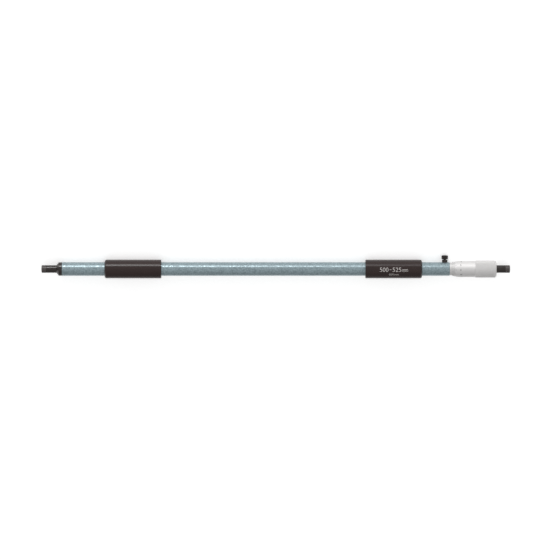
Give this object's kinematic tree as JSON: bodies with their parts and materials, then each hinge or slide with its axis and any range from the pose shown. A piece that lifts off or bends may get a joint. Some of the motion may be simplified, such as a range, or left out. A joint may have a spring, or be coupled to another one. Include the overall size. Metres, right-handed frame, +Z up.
{
  "type": "tubular inside micrometer",
  "caption": "Painted tube with insulating grips, a fixed anvil at one end and a micrometer head with a clamp screw at the other, for measuring the inside widths of large bores.",
  "frame": {"origin": "under the middle of the instrument's box, on the surface that it lies on", "axes": "+X along the tube from the anvil to the micrometer head, +Z up; the clamp knob points to +Y and down to the surface, 29.56 degrees below the horizontal"},
  "size_m": [0.5, 0.024, 0.02],
  "materials": {
    "hammertone": "satin",
    "grip_plastic": "satin",
    "black_oxide": "satin",
    "contact_steel": "satin",
    "satin_chrome": "satin",
    "ground_steel": "satin",
    "brass": "satin"
  },
  "bodies": {
    "frame": {"tube": "hammertone", "left_grip": "grip_plastic", "right_grip": "grip_plastic", "end_plug": "black_oxide", "anvil": "black_oxide", "anvil_contact": "contact_steel", "head_body": "ground_steel", "adjusting_nut": "ground_steel", "graduated_sleeve": "satin_chrome", "clamp_collar": "black_oxide"},
    "spindle_slide": {"spindle": "ground_steel"},
    "thimble_group": {"thimble": "satin_chrome", "spindle_tip": "black_oxide", "tip_contact": "contact_steel"},
    "shoe_slide": {"clamp_shoe": "brass"},
    "clamp_knob": {"clamp_screw": "black_oxide"}
  },
  "joints": [
    {"name": "spindle_travel", "type": "slide", "parent": "frame", "child": "spindle_slide", "axis": [1, 0, 0], "range_m": [0, 0.025]},
    {"name": "thimble_turn", "type": "hinge", "parent": "spindle_slide", "child": "thimble_group", "pos_m": [0.2, -0.00205, 0.01], "axis": [1, 0, 0], "range_deg": [0, 18000]},
    {"name": "clamp_lift", "type": "slide", "parent": "frame", "child": "shoe_slide", "axis": [0, 0.8699, -0.4933], "range_m": [-0.0001, 0.0005]},
    {"name": "clamp_turn", "type": "hinge", "parent": "shoe_slide", "child": "clamp_knob", "pos_m": [0.1802, -0.00205, 0.01], "axis": [0, 0.8699, -0.4933], "range_deg": [-72, 360]}
  ],
  "couplings": [
    {"joint": "thimble_turn", "follows": "spindle_travel", "rad_per_m": 12566},
    {"joint": "clamp_turn", "follows": "clamp_lift", "rad_per_m": 12566}
  ]
}
